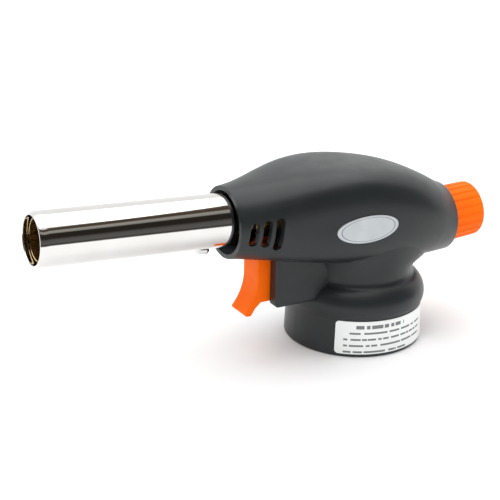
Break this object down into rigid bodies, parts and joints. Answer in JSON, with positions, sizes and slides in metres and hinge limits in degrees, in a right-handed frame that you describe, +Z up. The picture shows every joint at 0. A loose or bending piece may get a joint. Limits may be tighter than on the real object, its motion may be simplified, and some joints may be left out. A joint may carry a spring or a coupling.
{
  "type": "cartridge torch head",
  "caption": "Hand torch head that clips onto a gas cartridge, with a chromed flame tube, a sprung piezo trigger under the housing and a fluted flame knob at the rear.",
  "frame": {"origin": "centre of the base's lower edge, in the mouth of the cartridge socket", "axes": "+X is the way the flame points, +Y is the torch's left, +Z is up, away from the cartridge"},
  "size_m": [0.17, 0.0498, 0.0652],
  "materials": {
    "charcoal_plastic": "satin moulded plastic",
    "orange_plastic": "satin moulded plastic",
    "chrome_plate": "polished",
    "brass_metal": "turned",
    "zinc_casting": "as cast",
    "steel_plate": "zinc plated",
    "steel_screw": "zinc plated",
    "stainless": "heat tinted",
    "black_rubber": "matte",
    "ceramic_white": "matte",
    "piezo_plastic": "matte",
    "white_nylon": "matte",
    "lead_insulation": "silicone",
    "silver_badge": "satin silver",
    "label_white": "coated"
  },
  "bodies": {
    "root": {"left_shell": "charcoal_plastic", "right_shell": "charcoal_plastic", "shell_screws": "steel_screw", "flame_tube": "chrome_plate", "burner_head": "brass_metal", "burner_sleeve": "brass_metal", "flame_holder": "stainless", "jet_nipple": "brass_metal", "jet_filter": "brass_metal", "electrode_insulator": "ceramic_white", "electrode": "stainless", "tube_screw": "steel_screw", "valve_body": "zinc_casting", "gland_nut": "brass_metal", "spindle_o_ring": "black_rubber", "knob_washer": "steel_plate", "gas_pipe": "brass_metal", "inlet_stem": "brass_metal", "stem_o_ring": "black_rubber", "cartridge_gasket": "black_rubber", "bayonet_plate": "steel_plate", "plate_screws": "steel_screw", "piezo_case": "piezo_plastic", "piezo_spring": "steel_screw", "ignition_lead": "lead_insulation", "badge_plate": "silver_badge", "caution_label": "label_white"},
    "trigger": {"trigger": "orange_plastic", "piezo_plunger": "white_nylon"},
    "knob": {"knob": "orange_plastic", "needle_spindle": "brass_metal", "knob_screw": "steel_screw"}
  },
  "joints": [
    {"name": "trigger_slide", "type": "slide", "parent": "root", "child": "trigger", "axis": [-1, 0, 0], "range_m": [0, 0.005], "stiffness_N_per_m": 900, "springref_m": -0.003, "deforming": ["piezo_spring"]},
    {"name": "knob_turn", "type": "hinge", "parent": "root", "child": "knob", "pos_m": [0, 0, 0.03646], "axis": [-0.9986, 0, 0.0523], "range_deg": [0, 450]}
  ]
}
